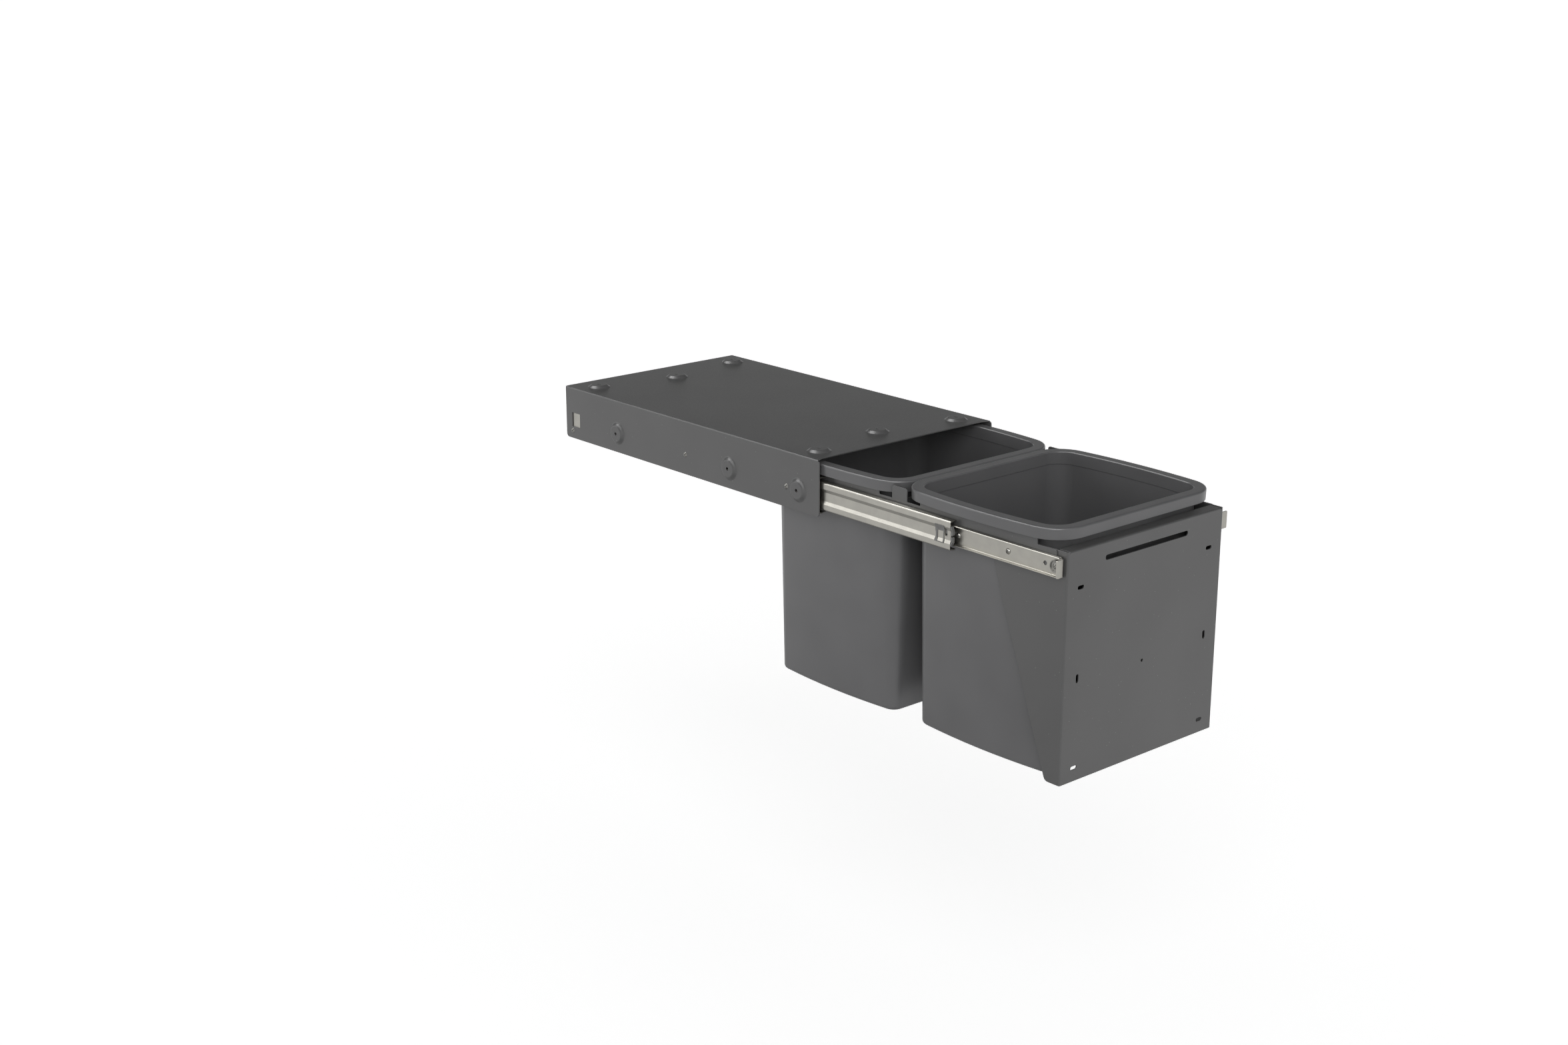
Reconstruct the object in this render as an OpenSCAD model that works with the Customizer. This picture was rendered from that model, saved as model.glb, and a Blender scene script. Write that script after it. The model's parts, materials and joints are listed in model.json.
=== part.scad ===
// Pull-out bin unit: a housing that is screwed up under a cabinet top, two three-member
// ball-bearing slides, a sheet-metal carriage with a door panel, and two plastic buckets.
// +Z is up, the door panel faces -Y, and +X is to the right of someone who faces the door.
// The origin is the centre of the four corner screw holes, on the plane of the dimples' tops.

/* [Pose and travel] */
// How far the drawer stands open as drawn
drawer_open = 377; // [0:1:500]
// Share of the drawer's travel that the middle rails make
mid_ratio = 0.58; // [0.5:0.01:0.62]

/* [Housing cover] */
// Outer width of the housing
housing_w = 300; // [260:1:400]
// Thickness of the painted sheet
sheet_t = 1.5; // [1.2:0.1:1.8]
// Outer radius of the bends in the painted sheet
bend_r = 2; // [1.9:0.1:3]
// Space behind the rear bucket when the drawer is shut
rear_space = 20.1; // [15:0.1:40]
// How far the side walls stand out in front of the top sheet
wall_lead = 7; // [6:0.5:12]
// How far the side walls reach below the slides
wall_below = 3.15; // [1:0.05:12]
// Corner radius of the side walls
wall_corner_r = 5; // [3:0.5:8]
// Width of the relief at each front corner of the top sheet
relief_w = 10.7; // [6:0.1:20]
// Depth of that relief at the side wall
relief_d = 4.8; // [2:0.1:5.5]
// Length of the window at the rear of each side wall
window_l = 17.9; // [10:0.1:24]
// Height of that window
window_h = 19.6; // [10:0.1:30]
// Distance of that window from the rear edge
window_rear = 13.4; // [10:0.1:25]

/* [Screw dimples] */
// Diameter of a dimple where it leaves the sheet
dimple_d = 32; // [28:0.5:36]
// Diameter of its flat top
dimple_top_d = 20; // [14:0.5:23]
// Height of a dimple
dimple_h = 3.6; // [2:0.1:5]
// Diameter of the screw hole in each dimple
screw_hole_d = 4.4; // [3:0.1:6]
// Distance of the corner screw holes from the sides of the housing
hole_side_inset = 30.8; // [22:0.1:40]
// Distance of the rear screw holes from the rear edge
hole_rear_inset = 36; // [20:0.5:60]
// Distance of the front screw holes from the front edge of the top sheet
hole_front_inset = 27.5; // [20:0.5:60]
// How far the two middle screw holes stand nearer the housing's centre
hole_mid_shift = 22; // [0:0.5:40]
// Rear side dimple, from the rear edge
side_hole_rear = 117.5; // [80:0.5:150]
// Middle side dimple, from the rear edge
side_hole_mid = 353.5; // [310:0.5:390]
// Front side dimple, from the front edge of the side wall
side_hole_front = 38.5; // [30:0.5:50]

/* [Slides] */
// Depth of a slide, from the side wall to the side plate
slide_w = 12.7; // [12.5:0.1:14]
// Height of a slide
slide_h = 46.5; // [45:0.1:50]
// Thickness of the rails' sheet
rail_t = 1.2; // [1:0.05:1.25]
// Outer radius of the bends in the rails
rail_bend_r = 2; // [1.5:0.1:2.2]
// Diameter of the balls
ball_d = 4.76; // [4.5:0.01:4.8]
// Clearance between a ball and its race
race_clear = 0.1; // [0.08:0.01:0.15]
// Depth of the races in the outer rail
outer_bite = 0.78; // [0.6:0.01:0.9]
// Depth of the races in the middle and inner rails
inner_bite = 0.44; // [0.35:0.01:0.5]
// Outer ball row, from the side wall
outer_row = 5.6; // [5.3:0.05:5.7]
// Inner ball row, from the side wall
inner_row = 9; // [8.9:0.05:9.1]
// How deep the middle rail's web is recessed
web_recess = 1.4; // [1:0.1:1.4]
// Half height of that recess at its floor
recess_v = 5.6; // [4:0.1:7]
// Height of the slope at each side of the recess
recess_slope = 4.1; // [2:0.1:4.6]
// Space between the outer rail's rear end and the rear edge of the housing
rail_rear_inset = 4; // [2:0.5:10]
// Space between the outer rail's front end and the front edge of the side wall
rail_front_inset = 2.5; // [1:0.1:6]
// How far the middle rail stands in front of the outer rail when shut
mid_lead = 3.1; // [1:0.1:3.6]
// How much shorter the middle rail is than the outer rail
mid_short = 38; // [36:0.5:60]
// How far the inner rail's front end stands behind the door panel's face
inner_setback = 4.1; // [3.6:0.1:6]
// How far the inner rail ends in front of the side plate's rear end
inner_short = 14.9; // [12:0.1:40]
// Half height of the turned front end of the inner rail
end_plate_v = 10.4; // [8:0.1:11]
// Diameter of the holes for a screwdriver in the outer rail
access_d = 12; // [9:0.5:14]

/* [Ball cages] */
// Length of an outer ball cage
outer_cage_l = 165; // [120:1:200]
// Length of an inner ball cage
inner_cage_l = 240; // [200:1:260]
// Distance between the balls in a row
ball_pitch = 20; // [16:1:24]
// Thickness of the strip that holds the balls
cage_t = 0.8; // [0.6:0.05:0.9]
// Thickness of the cage's wall along the rail
cage_web_t = 0.6; // [0.4:0.05:0.7]
// Clearance round a ball in its cage
pocket_clear = 0.2; // [0.15:0.05:0.3]
// How far the outer cage stops behind the outer rail's front end at full travel
outer_cage_stop = 3; // [1:0.5:10]
// How far the inner cage stops behind the middle rail's front end at full travel
inner_cage_stop = 16; // [15:0.5:25]
// Full travel of the drawer from shut
full_travel = 502; // [480:1:505]

/* [Rivets and screws] */
// Diameter of a pop rivet's head
rivet_head_d = 7.5; // [6:0.1:9]
// Height of that head
rivet_head_h = 1.6; // [1:0.1:2.2]
// Diameter of a rivet's shank
rivet_d = 4; // [3.2:0.1:4.8]
// Diameter of the rivet's formed end inside the rail
rivet_tail_d = 6.5; // [5.5:0.1:7]
// Height of that end
rivet_tail_h = 1; // [0.6:0.1:1.1]
// Rear rivet, from the rear edge of the housing
rivet_rear = 14.4; // [10:0.1:40]
// How far the rear rivet sits below the slide's centreline
rivet_rear_drop = 15.7; // [14.5:0.1:16]
// Middle rivet, from the rear edge of the housing
rivet_mid = 264; // [200:1:300]
// Front rivet, from the front edge of the side wall
rivet_front = 61; // [58:0.5:80]
// Diameter of a rail screw's head
screw_head_d = 7; // [5.5:0.1:7.4]
// Height of that head
screw_head_h = 2.3; // [1.5:0.1:2.4]
// Diameter of a rail screw's shank
screw_d = 4; // [3:0.1:4.5]
// Clearance round a shank in its hole
shank_clear = 0.1; // [0.05:0.05:0.3]
// The four rail screws, from the door panel's face
rail_screw_setbacks = [86.1, 163.5, 318.1, 472.1]; // [70:0.1:490]
// Free hole near the inner rail's front end, from the door panel's face
rail_hole_setback = 30.5; // [26:0.1:60]
// Diameter of that hole
rail_hole_d = 5.2; // [3:0.1:7]
// Cam adjuster, from the door panel's face
cam_setback = 14.7; // [13:0.1:20]

/* [Carriage] */
// Space between the rim of a bucket and the side plate's tabs
seat_gap = 0.3; // [0.1:0.05:0.5]
// How far the tabs stop before the ends of a bucket's rim
tab_inset = 34; // [28:1:50]
// Width of the tab between the buckets
divider_w = 25; // [16:0.5:26]
// Corner radius of the tabs and of their notches
tab_r = 3; // [1:0.5:5]
// Corner radius at the foot of the tabs
notch_r = 0.8; // [0.5:0.1:2]
// Space between the bottom of a rim and the notches between the tabs
notch_gap = 5.2; // [3:0.1:8]
// Step from the notches down to the side plate's front end
front_step = 2.7; // [1:0.1:5]
// How far the side plates reach below the slides' centreline
plate_below = 12.7; // [12.3:0.1:20]
// How far the side plates end behind the door panel's face
plate_setback = 15.1; // [12:0.1:30]
// Rear cross plate, from the rear end of the side plates
cross_inset = 6; // [4:0.1:9]
// Height of the rear cross plate below its tab
cross_h = 30.5; // [20:0.5:40]
// Width of the rear cross plate's tab
cross_tab_w = 120; // [60:1:170]
// Height of the middle cross bar
bar_h = 23.5; // [12:0.5:30]
// Length of the flanges at the ends of both cross pieces
end_flange = 12; // [8:0.5:14]

/* [Front panel] */
// How far the panel's face stands in front of the housing when shut
panel_lead = 10.6; // [9.5:0.1:30]
// Height of the panel
panel_h = 275.4; // [240:0.1:290]
// Depth of the flange along the panel's top edge
top_flange = 16.1; // [8:0.1:17]
// Depth of a wing at the panel's top
wing_top = 111.4; // [80:0.1:130]
// How far the wing's rear edge runs straight down from the top
wing_straight = 31.5; // [20:0.1:60]
// Depth of a wing at the panel's bottom
wing_bottom = 22.2; // [14:0.1:40]
// Corner radius at the bottom of a wing
wing_corner_r = 6; // [3:0.5:8]
// Length of the long slot under the top edge
long_slot_l = 143; // [80:1:180]
// Height of that slot
long_slot_h = 6; // [4:0.1:8]
// Long slot, from the top edge
long_slot_drop = 18.6; // [12:0.1:26]
// Length of a door screw's slot
door_slot_l = 10.3; // [8:0.1:14]
// Width of a door screw's slot
door_slot_w = 4.4; // [3.5:0.1:6]
// Door slots, from the sides of the panel
slot_side_inset = 23.3; // [14:0.1:40]
// Upper door slots, from the top edge
slot_top_inset = 44.4; // [36:0.1:60]
// Lower door slots, from the bottom edge
slot_bottom_inset = 16.4; // [12:0.1:30]
// Diameter of the hole near the panel's middle
centre_hole_d = 3.8; // [3:0.1:5]
// How far that hole sits below the middle slots
centre_hole_drop = 5.2; // [0:0.1:10]

/* [Buckets] */
// Depth of a bucket over its rim, from front to rear
rim_d = 252; // [225:1:280]
// Space between the two buckets' rims
rim_space = 1; // [0.6:0.1:5]
// Space between the front rim and the door panel's face
rim_setback = 10; // [8:0.1:15]
// Space between the rims and the underside of the housing
rim_gap = 4; // [2:0.1:10]
// Height of the rim's skirt
rim_h = 13.8; // [11:0.1:18]
// Thickness of the rim
rim_t = 3; // [2:0.1:3.2]
// How far the rims reach out over the side plates
rim_over = 11.1; // [9:0.1:11.5]
// Thickness of the rim's skirt
skirt_t = 2.5; // [1.5:0.1:2.7]
// Radius along the rim's outer top edge
rim_edge_r = 2.5; // [1.5:0.1:2.8]
// Corner radius of the rim, seen from above
rim_corner_r = 41; // [36:0.5:50]
// How far the long sides of the rim bow outwards
rim_bow = 4.3; // [3:0.1:5.5]
// Height of a bucket
bucket_h = 297.5; // [250:0.5:320]
// Wall thickness near the rim
bucket_wall = 1.8; // [1.4:0.1:2.4]
// Clearance between a bucket and the side plates
bucket_clear = 1.85; // [1.8:0.05:3]
// Space between the end of the rim and the wall of the bucket
end_inset = 13.2; // [11.5:0.1:16]
// How much the bucket narrows at each side down to its bottom
bucket_taper = 7.25; // [4:0.05:12]
// Depth of the straight part at the top of a bucket
straight_h = 44.5; // [30:0.5:80]
// Corner radius of the bucket under the rim
body_top_r = 28; // [20:0.5:34]
// Corner radius of the bucket at its bottom
body_bottom_r = 15; // [12:0.5:28]
// How far the long sides of the bucket bow outwards
body_bow = 4.9; // [3:0.1:6]
// Radius along the bottom edge
floor_r = 5; // [3:0.5:7]
// Depth of the small step inside the wall, from the rim's top
shoulder_h = 16; // [8:0.5:28]
// How far the wall's inside steps back below it
shoulder_step = 0.6; // [0.3:0.1:1]

/* [Hidden] */
$fn = 48;

paint = [0.36, 0.36, 0.37];
zinc = [0.72, 0.71, 0.68];
steel = [0.80, 0.80, 0.80];
bucket_grey = [0.33, 0.33, 0.34];
clip_grey = [0.50, 0.50, 0.50];
bumper_black = [0.16, 0.16, 0.16];

// Overshoot of a cut past the face that it opens
cut = 1;
// Bevel at a bucket's mouth, and draft of its skirt
mouth_r = 1;
skirt_draft = 0.5;

// Heights, down from the outer face of the housing's top sheet
rim_top_z = -sheet_t - rim_gap;
skirt_bottom_z = rim_top_z - rim_h;
rail_gap = 2.75;
slide_z = skirt_bottom_z - rail_gap - slide_h / 2;
wall_h = -slide_z + slide_h / 2 + wall_below;
seat_z = rim_top_z - rim_t - seat_gap;
notch_z = skirt_bottom_z - notch_gap;
panel_top_z = notch_z - front_step;
panel_bottom_z = panel_top_z - panel_h;
plate_bottom_z = slide_z - plate_below;

// Depths of the housing, forward of its rear edge
top_d = rear_space + 2 * rim_d + rim_space + rim_setback - panel_lead - wall_lead;
wall_d = top_d + wall_lead;
front_hole_y = -(top_d - hole_front_inset);
pattern_y = -(hole_rear_inset - front_hole_y) / 2;
outer_front_y = -wall_d + rail_front_inset;
outer_len = wall_d - rail_front_inset - rail_rear_inset;
mid_len = outer_len - mid_short;

// Places of the moving pieces as drawn
panel_y = -wall_d - panel_lead - drawer_open;
front_bucket_y = panel_y + rim_setback + rim_d / 2;
rear_bucket_y = front_bucket_y + rim_d + rim_space;
divider_y = (front_bucket_y + rear_bucket_y) / 2;
plate_rear_y = rear_bucket_y + rim_d / 2;
plate_front_y = panel_y + plate_setback;
mid_front_y = outer_front_y - mid_lead - mid_ratio * drawer_open;
inner_front_y = panel_y + inner_setback;
inner_rear_y = plate_rear_y - inner_short;
outer_cage_ratio = mid_ratio / 2;
inner_cage_ratio = (mid_ratio + 1) / 2;
outer_cage_y = outer_front_y + outer_cage_stop + outer_cage_ratio * (full_travel - drawer_open);
mid_full_y = outer_front_y - mid_lead - mid_ratio * full_travel;
inner_cage_y = mid_full_y + inner_cage_stop + inner_cage_ratio * (full_travel - drawer_open);

// Widths, from the middle of the unit
wall_x = housing_w / 2 - sheet_t;
plate_x = wall_x - slide_w;
wing_x = plate_x - sheet_t;

// Slide section: u runs inwards from the side wall, v up from the slide's centreline
race_r = ball_d / 2 + race_clear;
outer_row_v = slide_h / 2 - rail_t - race_r;
outer_flat_v = outer_row_v + race_r - outer_bite;
mid_v = outer_row_v - race_r + inner_bite;
inner_row_v = mid_v - rail_t + inner_bite - race_r;
inner_v = inner_row_v - race_r + inner_bite;
cage_gap = 0.35;
mid_u = rail_t + cage_gap + cage_web_t + 0.4;
mid_web_u = mid_u + web_recess;
inner_cage_u = mid_web_u + rail_t + 0.3;
inner_edge_u = inner_cage_u + cage_web_t + 0.55;
inner_web_u = slide_w - rail_t;
outer_edge_u = slide_w - 0.5;
mid_edge_u = slide_w - 1.1;
bend_in = rail_bend_r - rail_t;
roll_r = 0.9 * rail_t;

side_hole_ys = [-side_hole_rear, -side_hole_mid, -wall_d + side_hole_front];
rivet_places = [[-rivet_rear, -rivet_rear_drop], [-rivet_mid, 0], [-wall_d + rivet_front, 0]];
rail_screw_ys = [for (setback = rail_screw_setbacks) panel_y + setback];
rail_hole_y = panel_y + rail_hole_setback;
end_plate_u = 1;
cam_y = panel_y + cam_setback;
cam_d = 14.8;
cam_t = 2;
cam_rim = 1.2;
cam_dish = 1.1;
cam_dome_r = 5.2;
cam_shaft_d = 6;
cam_clear = 0.08;

// Catch clip and bumper of the middle rail
clip_l = 15;
clip_back = 24.8;
clip_v = 10.5;
clip_t = 0.5;
clip_seat = 0.05;
clip_waist = 0.9;
clip_rear_leg = 3.8;
clip_front_leg = 2;
hook_back = 5.7;
hook_l = 3.8;
bumper_nose = 3.7;
jaw_v = 11.6;
jaw_t = 1.25;
jaw_l = 11;
jaw_gap = 0.8;

// One corner of an outline as an arc between its tangent points
function unit(v) = v / norm(v);
function corner_arc(before, here, after, steps) =
    let (
        p = [here[0], here[1]],
        to_before = unit([before[0], before[1]] - p),
        to_after = unit([after[0], after[1]] - p),
        half = acos(to_before * to_after) / 2,
        centre = p + unit(to_before + to_after) * here[2] / sin(half),
        start = p + to_before * here[2] / tan(half) - centre,
        end = p + to_after * here[2] / tan(half) - centre,
        from = atan2(start[1], start[0]),
        turn = (atan2(end[1], end[0]) - from + 540) % 360 - 180
    )
    [for (i = [0 : steps])
        let (angle = from + turn * i / steps) centre + here[2] * [cos(angle), sin(angle)]];

// Outline through corners given as [x, y, radius]
function rounded(corners, steps = 5) =
    let (n = len(corners))
    [for (i = [0 : n - 1]) each
        corners[i][2] <= 0 ? [[corners[i][0], corners[i][1]]] :
        corner_arc(corners[(i + n - 1) % n], corners[i], corners[(i + 1) % n], steps)];

// From the housing's rear edge and top sheet to the origin of the unit
module in_frame() {
    translate([0, -pattern_y, -dimple_h]) children();
}

// The left side as drawn, and the same mirrored for the right side
module on_side(side) {
    if (side < 0) children();
    else mirror([1, 0, 0]) children();
}

// From a slide's section frame to the left side wall
module in_slide() {
    translate([-wall_x, 0, slide_z]) children();
}

// A section in x and z, run from y_front to y_back
module along_y(y_front, y_back) {
    translate([0, y_back, 0]) rotate([90, 0, 0]) linear_extrude(y_back - y_front) children();
}

// An outline in y and z, run from x_left to x_right
module across(x_left, x_right) {
    translate([x_left, 0, 0]) rotate([90, 0, 90]) linear_extrude(x_right - x_left) children();
}

// A round hole or pin along x
module pin_x(d, x_left, x_right) {
    translate([x_left, 0, 0]) rotate([0, 90, 0]) cylinder(d = d, h = x_right - x_left);
}

// A slot outline, long side along x
module slot(l, w) {
    square([l - w, w], center = true);
    for (s = [-1, 1]) translate([s * (l - w) / 2, 0]) circle(d = w);
}

// A pressed dimple with its screw hole; the sheet's outer face is at z = 0
module dimple() {
    steps = 8;
    base_r = dimple_d / 2;
    top_r = dimple_top_d / 2;
    hole_r = screw_hole_d / 2;
    flank = [for (i = [0 : steps])
        [top_r + (base_r - top_r) * i / steps, dimple_h * (1 + cos(180 * i / steps)) / 2]];
    outer = concat([[hole_r, dimple_h]], flank, [[base_r + cut, 0]]);
    inner = [for (i = [len(outer) - 1 : -1 : 0]) outer[i] - [0, sheet_t]];
    rotate_extrude() polygon(concat(outer, inner));
}

// Puts its children at every dimple, turned so that z points out of the sheet
module each_dimple() {
    for (x = [-1, 1] * (housing_w / 2 - hole_side_inset), y = [-hole_rear_inset, front_hole_y])
        translate([x, y, 0]) children();
    for (y = [-hole_rear_inset - hole_mid_shift, front_hole_y + hole_mid_shift])
        translate([0, y, 0]) children();
    for (s = [-1, 1], y = side_hole_ys)
        translate([s * housing_w / 2, y, slide_z]) rotate([0, s * 90, 0]) children();
}

// Cross-section of the housing: a top sheet with a wall bent down at each side
module housing_section() {
    w = housing_w / 2;
    polygon(rounded([[-w, 0, bend_r], [w, 0, bend_r], [w, -wall_h, 0], [wall_x, -wall_h, 0],
        [wall_x, -sheet_t, bend_r - sheet_t], [-wall_x, -sheet_t, bend_r - sheet_t],
        [-wall_x, -wall_h, 0], [-w, -wall_h, 0]]));
}

// Side view of the housing, with its rounded wall corners
module housing_side() {
    polygon(rounded([[0, 0, 0], [0, -wall_h, wall_corner_r], [-wall_d, -wall_h, wall_corner_r],
        [-wall_d, 0, wall_corner_r]]));
}

// The part of the top sheet that is cut away between the leading side walls
module front_relief() {
    w = housing_w / 2;
    translate([0, 0, -bend_r]) linear_extrude(bend_r + cut)
        polygon([[-w - cut, -top_d - relief_d], [-w, -top_d - relief_d], [-w + relief_w, -top_d],
            [w - relief_w, -top_d], [w, -top_d - relief_d], [w + cut, -top_d - relief_d],
            [w + cut, -wall_d - cut], [-w - cut, -wall_d - cut]]);
}

module housing_cover() {
    color(paint) in_frame() difference() {
        union() {
            difference() {
                intersection() {
                    along_y(-wall_d, 0) housing_section();
                    across(-housing_w / 2, housing_w / 2) housing_side();
                }
                front_relief();
                each_dimple() translate([0, 0, -sheet_t - cut])
                    cylinder(d = dimple_d, h = sheet_t + 2 * cut);
            }
            each_dimple() dimple();
        }
        for (s = [-1, 1]) on_side(s) in_slide() {
            translate([-sheet_t - cut, -window_rear - window_l, -window_h / 2])
                cube([sheet_t + 2 * cut, window_l, window_h]);
            for (p = rivet_places) translate([0, p[0], p[1]])
                pin_x(rivet_d + 2 * shank_clear, -sheet_t - cut, cut);
        }
    }
}

// A channel section that opens towards +u, with its web at u = 0
module channel(half_v, edge_u) {
    polygon(rounded([[edge_u, half_v, roll_r], [0, half_v, rail_bend_r], [0, -half_v, rail_bend_r],
        [edge_u, -half_v, roll_r], [edge_u, rail_t - half_v, 0], [rail_t, rail_t - half_v, bend_in],
        [rail_t, half_v - rail_t, bend_in], [edge_u, half_v - rail_t, 0]]));
}

// The swell behind a race, on the flange face at v = face_v that looks outwards or inwards
module race_swell(u, v, face_v, outwards) {
    from_v = outwards ? face_v - rail_t / 4 : face_v + rail_t / 4;
    for (s = [-1, 1]) intersection() {
        translate([u, s * v]) circle(r = race_r + rail_t);
        translate([u - 2 * race_r, s * (outwards ? from_v + race_r : from_v - race_r) - race_r])
            square([4 * race_r, 2 * race_r]);
    }
}

module race_groove(u, v) {
    for (s = [-1, 1]) translate([u, s * v]) circle(r = race_r);
}

module outer_rail_section() {
    difference() {
        union() {
            channel(outer_flat_v + rail_t, outer_edge_u);
            race_swell(outer_row, outer_row_v, outer_flat_v + rail_t, true);
        }
        race_groove(outer_row, outer_row_v);
    }
}

module middle_rail_section() {
    slope_v = recess_v + recess_slope;
    // The inner face of a sloped sheet meets its neighbours this much farther out
    miter = rail_t * tan(atan2(web_recess, recess_slope) / 2);
    web = mid_web_u + rail_t;
    band = mid_u + rail_t;
    difference() {
        union() {
            polygon(rounded([[mid_edge_u, mid_v, 0], [mid_u, mid_v, rail_bend_r],
                [mid_u, slope_v, 0.5], [mid_web_u, recess_v, 0.5],
                [mid_web_u, -recess_v, 0.5], [mid_u, -slope_v, 0.5],
                [mid_u, -mid_v, rail_bend_r], [mid_edge_u, -mid_v, 0],
                [mid_edge_u, rail_t - mid_v, 0], [band, rail_t - mid_v, bend_in],
                [band, -slope_v - miter, 0.5], [web, -recess_v - miter, 0.5],
                [web, recess_v + miter, 0.5], [band, slope_v + miter, 0.5],
                [band, mid_v - rail_t, bend_in], [mid_edge_u, mid_v - rail_t, 0]]));
            race_swell(outer_row, outer_row_v, mid_v - rail_t, false);
            race_swell(inner_row, inner_row_v, mid_v, true);
        }
        race_groove(outer_row, outer_row_v);
        race_groove(inner_row, inner_row_v);
    }
}

module inner_rail_section() {
    difference() {
        union() {
            translate([slide_w, 0]) mirror([1, 0]) channel(inner_v, slide_w - inner_edge_u);
            race_swell(inner_row, inner_row_v, inner_v - rail_t, false);
        }
        race_groove(inner_row, inner_row_v);
    }
}

module outer_rail(side) {
    color(zinc) in_frame() on_side(side) in_slide() difference() {
        along_y(outer_front_y, -rail_rear_inset) outer_rail_section();
        for (p = rivet_places) translate([0, p[0], p[1]])
            pin_x(rivet_d + 2 * shank_clear, -cut, rail_t + cut);
        for (y = side_hole_ys) translate([0, y, 0]) pin_x(access_d, -cut, rail_t + cut);
    }
}

// Pop rivets: domed head outside the wall, hollow shank, formed end inside the rail
module outer_rail_rivets(side) {
    head_r = rivet_head_d / 2;
    dome_r = (head_r * head_r + rivet_head_h * rivet_head_h) / (2 * rivet_head_h);
    color(steel) in_frame() on_side(side) in_slide() for (p = rivet_places)
        translate([0, p[0], p[1]]) difference() {
            union() {
                intersection() {
                    translate([-sheet_t - rivet_head_h + dome_r, 0, 0]) sphere(r = dome_r);
                    pin_x(rivet_head_d, -sheet_t - rivet_head_h - cut, -sheet_t);
                }
                pin_x(rivet_d, -sheet_t, rail_t);
                pin_x(rivet_tail_d, rail_t, rail_t + rivet_tail_h);
            }
            pin_x(rivet_d / 2, -sheet_t - rivet_head_h - cut, -sheet_t);
        }
}

// Plastic stop behind the closed drawer: a block with a rounded catching tongue
module rear_bumper(side) {
    back_y = -rail_rear_inset - 3;
    front_y = inner_rear_y + drawer_open + 2;
    hook_v = 8;
    color(bumper_black) in_frame() on_side(side) in_slide() difference() {
        along_y(front_y, back_y) polygon(rounded([[rail_t, -hook_v, 0], [inner_web_u - 1, -hook_v, 2],
            [inner_web_u - 1, hook_v, 2], [rail_t, hook_v, 0]]));
        translate([rail_t + 3, front_y - cut, -3]) cube([slide_w, 14, 6]);
    }
}

// Middle rail, with a slot in its web for the bumper's hook
module middle_rail(side) {
    color(zinc) in_frame() on_side(side) in_slide() difference() {
        along_y(mid_front_y, mid_front_y + mid_len) middle_rail_section();
        translate([mid_u - cut, mid_front_y + hook_back, -1.5])
            cube([web_recess + rail_t + 2 * cut, hook_l, 9]);
    }
}

// The middle rail's recessed outer face, moved outwards by a distance and cut off at the clip
function recess_face(away) =
    let (miter = away * tan(atan2(web_recess, recess_slope) / 2),
        slope_v = recess_v + recess_slope - miter, floor_v = recess_v - miter,
        band_u = mid_u - away, floor_u = mid_web_u - away)
    [[band_u, -clip_v], [band_u, -slope_v], [floor_u, -floor_v],
        [floor_u, floor_v], [band_u, slope_v], [band_u, clip_v]];

// Clip that catches the outer rail's stop: thin plastic that follows the middle rail's recess,
// with a slight waist and an open middle
module catch_clip(side) {
    back_y = mid_front_y + clip_back;
    front_y = back_y - clip_l;
    near = recess_face(clip_seat);
    far = recess_face(clip_seat + clip_t);
    color(clip_grey) in_frame() on_side(side) in_slide() difference() {
        intersection() {
            along_y(front_y, back_y)
                polygon(concat(near, [for (i = [len(far) - 1 : -1 : 0]) far[i]]));
            across(0, slide_w) polygon([[back_y, slide_h], [back_y, 3], [back_y - clip_waist, 0],
                [back_y - clip_waist, -4], [back_y, -7], [back_y, -slide_h],
                [front_y, -slide_h], [front_y, -7], [front_y + clip_waist, -4],
                [front_y + clip_waist, 0], [front_y, 3], [front_y, slide_h]]);
        }
        across(0, slide_w) polygon([[back_y - clip_rear_leg, 3.4], [front_y + clip_front_leg, 3.4],
            [front_y + clip_front_leg, -9.4], [back_y - clip_rear_leg, -9.4]]);
    }
}

// Plastic bumper at the middle rail's front end: two plates on the inner face of the web, each
// with a jaw that curves round the web's end to a knob near the centreline
module front_bumper(side) {
    web_in = mid_web_u + rail_t;
    color(clip_grey) in_frame() on_side(side) in_slide() translate([0, mid_front_y, 0])
        for (flip = [0, 1]) mirror([0, 0, flip]) {
            translate([web_in, -0.4, jaw_gap]) cube([jaw_t, jaw_l, jaw_v - jaw_gap]);
            across(mid_u, web_in + jaw_t) polygon(rounded([[-0.3, jaw_v, 0], [-1.6, jaw_v, 0.8],
                [-bumper_nose, jaw_v - 4.2, 2.5], [-bumper_nose, jaw_gap, 1.4],
                [-0.8, jaw_gap, 1.4], [-0.8, jaw_gap + 3, 1.2], [-2, jaw_gap + 4.6, 0.9],
                [-2, jaw_v - 4.4, 1], [-0.3, jaw_v - 2.4, 0]]));
        }
}

// Cage strips of one slide between the outer and middle rails
module outer_cage(side) {
    lip_u = rail_t + cage_gap;
    lip_v = 11;
    color(zinc) in_frame() on_side(side) in_slide() difference() {
        along_y(outer_cage_y, outer_cage_y + outer_cage_l) for (s = [-1, 1]) {
            translate([lip_u, s > 0 ? outer_row_v - cage_t / 2 : -outer_row_v - cage_t / 2])
                square([outer_row + 4 - lip_u, cage_t]);
            translate([lip_u, s > 0 ? lip_v : -outer_row_v - cage_t / 2])
                square([cage_web_t, outer_row_v + cage_t / 2 - lip_v]);
        }
        each_ball(outer_row, outer_row_v, outer_cage_y, outer_cage_l)
            cylinder(d = ball_d + 2 * pocket_clear, h = 3 * cage_t, center = true);
    }
}

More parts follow.
